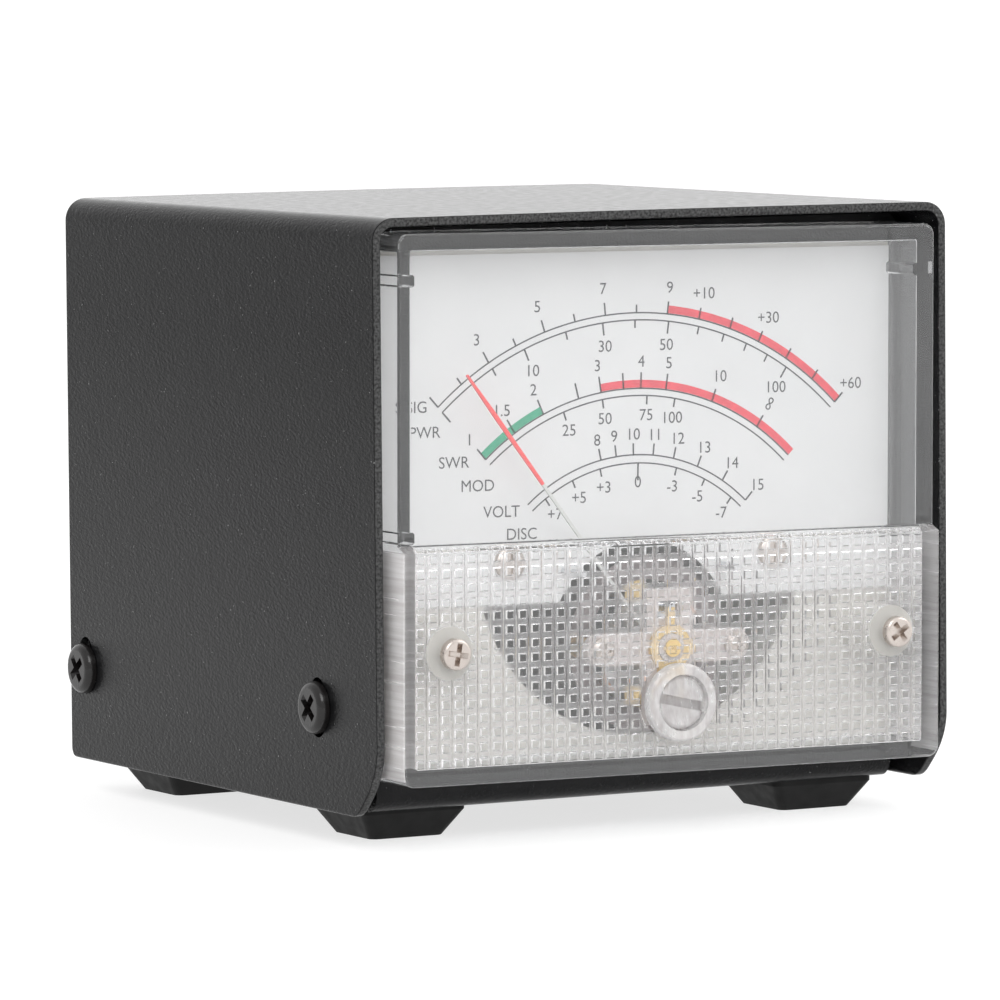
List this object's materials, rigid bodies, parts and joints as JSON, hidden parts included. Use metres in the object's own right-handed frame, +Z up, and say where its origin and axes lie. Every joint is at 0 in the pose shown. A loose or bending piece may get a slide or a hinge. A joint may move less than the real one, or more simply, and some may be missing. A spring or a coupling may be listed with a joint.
{
  "type": "swr meter",
  "caption": "Desktop SWR and power meter for a radio: moving-coil panel meter behind a clear ribbed lens in a folded black steel case on rubber feet.",
  "frame": {"origin": "on the surface that the feet stand on, midway across the case and midway from the front of the raised ring on the lens to the rear of the level shaft", "axes": "+X to the right seen from the front, +Y towards the rear panel, +Z up; the dial faces -Y"},
  "size_m": [0.0764, 0.0854, 0.0696],
  "materials": {
    "powder_coat": "fine orange-peel powder coat",
    "black_screws": "glossy black oxide",
    "zinc_steel": "zinc plated",
    "rubber": "matt moulded",
    "cream_plastic": "moulded",
    "clear_plastic": "clear polished",
    "nickel": "nickel plated",
    "dial_white": "matt white enamel, printed",
    "dark_steel": "blackened",
    "brass": "turned",
    "aluminium": "satin",
    "copper": "enamelled wire",
    "pointer_red": "fluorescent paint",
    "circuit_board": "solder mask",
    "lamp_white": "moulded",
    "resistor": "lacquered",
    "black_plastic": "moulded",
    "red_insulation": "PVC insulation",
    "yellow_insulation": "PVC insulation",
    "black_insulation": "PVC insulation"
  },
  "bodies": {
    "case": {"cover": "powder_coat", "chassis": "powder_coat", "cover_screws": "black_screws", "foot_front_left": "rubber", "foot_front_right": "rubber", "foot_rear_left": "rubber", "foot_rear_right": "rubber", "meter_base": "cream_plastic", "meter_washers": "zinc_steel", "meter_nuts": "zinc_steel", "lens": "clear_plastic", "lens_screws": "nickel", "dial_plate": "dial_white", "dial_screws": "nickel", "pointer_stops": "zinc_steel", "movement_frame": "dark_steel", "movement_screws": "zinc_steel", "yoke_ring": "dark_steel", "core_magnet": "zinc_steel", "core_brackets": "brass", "bridge_posts": "brass", "front_bridge": "lamp_white", "bridge_screws": "nickel", "front_jewel_screw": "brass", "rear_jewel_screw": "brass", "rear_hairspring": "brass", "terminal_studs": "brass", "terminal_nuts": "brass", "terminal_lugs": "zinc_steel", "light_board": "circuit_board", "light_board_screws": "zinc_steel", "lamps": "lamp_white", "lamp_resistor": "resistor", "meter_jack": "black_plastic", "meter_jack_nut": "zinc_steel", "power_jack": "black_plastic", "power_jack_pin": "nickel", "power_jack_nut": "zinc_steel", "level_control": "dark_steel", "level_control_nut": "zinc_steel", "signal_wire": "red_insulation", "level_wire": "yellow_insulation", "ground_wire": "black_insulation", "lamp_feed_wire": "red_insulation", "lamp_return_wire": "black_insulation"},
    "pointer": {"pointer": "pointer_red", "coil_former": "aluminium", "coil_winding": "copper", "coil_pivots": "zinc_steel", "balance_weights": "brass"},
    "zero_adjuster": {"zero_adjuster": "clear_plastic"},
    "zero_lever": {"zero_lever": "brass", "front_hairspring": "brass"},
    "level_shaft": {"level_shaft": "nickel"}
  },
  "joints": [
    {"name": "pointer_swing", "type": "hinge", "parent": "case", "child": "pointer", "pos_m": [-0.00045, -0.0357, 0.0209], "axis": [0, 1, 0], "range_deg": [-8.5, 84], "stiffness_Nm_per_rad": 0.00002},
    {"name": "zero_adjust", "type": "hinge", "parent": "case", "child": "zero_adjuster", "pos_m": [-0.00051, -0.0414, 0.015], "axis": [0, 1, 0], "range_deg": [-40, 40]},
    {"name": "zero_lever_swing", "type": "hinge", "parent": "case", "child": "zero_lever", "pos_m": [-0.00045, -0.0357, 0.0209], "axis": [0, 1, 0], "range_deg": [-10, 10]},
    {"name": "level_turn", "type": "hinge", "parent": "case", "child": "level_shaft", "pos_m": [0, 0.0374, 0.0296], "axis": [0, 1, 0], "range_deg": [-140, 140]}
  ],
  "couplings": [
    {"joint": "zero_lever_swing", "follows": "zero_adjust", "ratio": -0.22}
  ]
}
